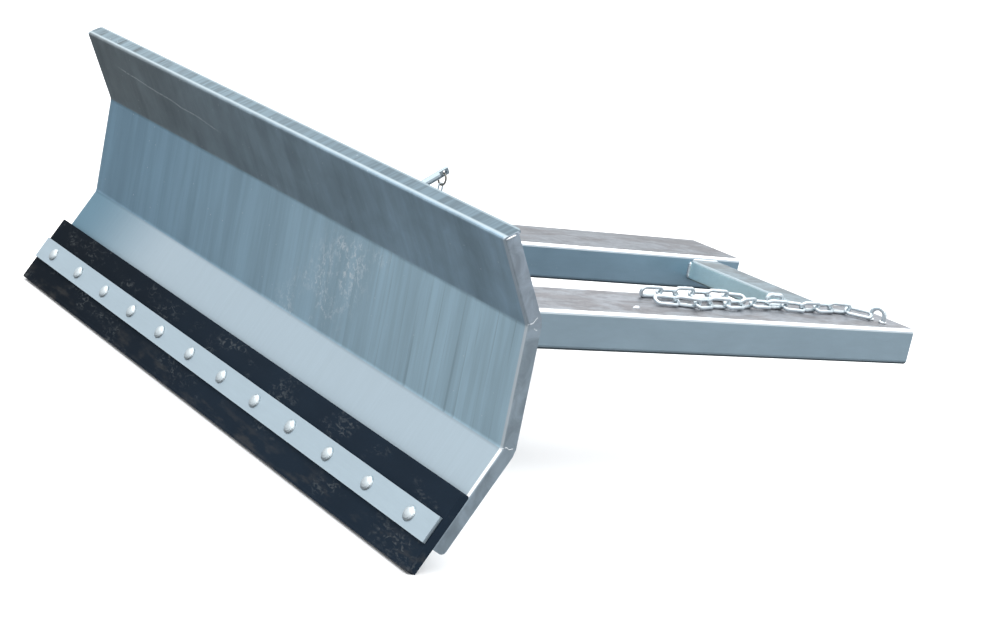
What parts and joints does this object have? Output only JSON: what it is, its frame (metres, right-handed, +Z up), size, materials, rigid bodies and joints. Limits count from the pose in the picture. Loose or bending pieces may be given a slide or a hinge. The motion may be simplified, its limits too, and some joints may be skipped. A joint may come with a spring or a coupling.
{
  "type": "snow plow blade",
  "caption": "Galvanised snow plow blade with a bolted rubber edge, slewing on a kingpin in front of a frame with two fork tine sleeves.",
  "frame": {"origin": "on the floor under the middle of the whole part's footprint, with the fork sleeves level, the blade turned 5 degrees about its kingpin so that its +X end is ahead, and the rubber edge's worn face on the floor", "axes": "+X along the blade towards the end that has the chained sleeve, +Y backwards along the fork sleeves, away from the snow, +Z up"},
  "size_m": [1.5092, 1.4066, 0.5021],
  "materials": {
    "galvanised_sheet": "hot-dip galvanised, matt grey with a faint spangle, streaks and rubbed patches",
    "galvanised_frame": "hot-dip galvanised, blue-grey",
    "zinc_fasteners": "bright zinc plated",
    "zinc_chain": "bright zinc plated wire",
    "dark_ring": "dull dark steel",
    "bush_bronze": "plain bearing bronze",
    "rubber": "matt black rubber with dust"
  },
  "bodies": {
    "fork_frame": {"fork_sleeve_left": "galvanised_frame", "fork_sleeve_right": "galvanised_frame", "rear_cross_tube": "galvanised_frame", "front_beam": "galvanised_frame", "upper_head_plate": "galvanised_frame", "lower_head_plate": "galvanised_frame", "kingpin_bolt": "zinc_fasteners", "kingpin_nut": "zinc_fasteners", "upper_spacer": "galvanised_frame", "lower_spacer": "galvanised_frame", "pin_guide": "galvanised_frame", "chain_anchor_eye": "zinc_chain", "chain_lower_run": "zinc_chain", "chain_return_run": "zinc_chain", "chain_connector": "zinc_chain"},
    "blade": {"blade_sheet": "galvanised_sheet", "rubber_edge": "rubber", "clamp_bar": "galvanised_frame", "carriage_bolt_01": "zinc_fasteners", "carriage_bolt_02": "zinc_fasteners", "carriage_bolt_03": "zinc_fasteners", "carriage_bolt_04": "zinc_fasteners", "carriage_bolt_05": "zinc_fasteners", "carriage_bolt_06": "zinc_fasteners", "carriage_bolt_07": "zinc_fasteners", "carriage_bolt_08": "zinc_fasteners", "carriage_bolt_09": "zinc_fasteners", "carriage_bolt_10": "zinc_fasteners", "carriage_bolt_11": "zinc_fasteners", "carriage_bolt_12": "zinc_fasteners", "flange_nut_01": "zinc_fasteners", "flange_nut_02": "zinc_fasteners", "flange_nut_03": "zinc_fasteners", "flange_nut_04": "zinc_fasteners", "flange_nut_05": "zinc_fasteners", "flange_nut_06": "zinc_fasteners", "flange_nut_07": "zinc_fasteners", "flange_nut_08": "zinc_fasteners", "flange_nut_09": "zinc_fasteners", "flange_nut_10": "zinc_fasteners", "flange_nut_11": "zinc_fasteners", "flange_nut_12": "zinc_fasteners", "sector_plate": "galvanised_frame", "gusset_upper_left": "galvanised_frame", "gusset_upper_right": "galvanised_frame", "gusset_lower_left": "galvanised_frame", "gusset_lower_right": "galvanised_frame", "pivot_bush": "bush_bronze"},
    "lock_pin": {"lock_pin": "zinc_chain", "pin_collar": "zinc_chain"},
    "pin_ring": {"pin_ring": "dark_ring"},
    "pull_link_1": {"pull_link_1": "zinc_chain"},
    "pull_link_2": {"pull_link_2": "zinc_chain"}
  },
  "joints": [
    {"name": "blade_slew", "type": "hinge", "parent": "fork_frame", "child": "blade", "pos_m": [0.01493, -0.41472, 0.24901], "axis": [0, 0, 1], "range_deg": [-25, 35]},
    {"name": "lock_pin_lift", "type": "slide", "parent": "fork_frame", "child": "lock_pin", "axis": [0, 0, 1], "range_m": [0, 0.03]},
    {"name": "pin_ring_swing", "type": "hinge", "parent": "lock_pin", "child": "pin_ring", "pos_m": [0.01493, -0.22328, 0.43128], "axis": [1, 0, 0], "range_deg": [-15, 60]},
    {"name": "pull_link_1_swing", "type": "hinge", "parent": "pin_ring", "child": "pull_link_1", "pos_m": [0.01493, -0.22328, 0.41029], "axis": [1, 0, 0], "range_deg": [-15, 40]},
    {"name": "pull_link_2_swing", "type": "hinge", "parent": "pull_link_1", "child": "pull_link_2", "pos_m": [0.01493, -0.22328, 0.38888], "axis": [0, 1, 0], "range_deg": [-40, 40]}
  ]
}
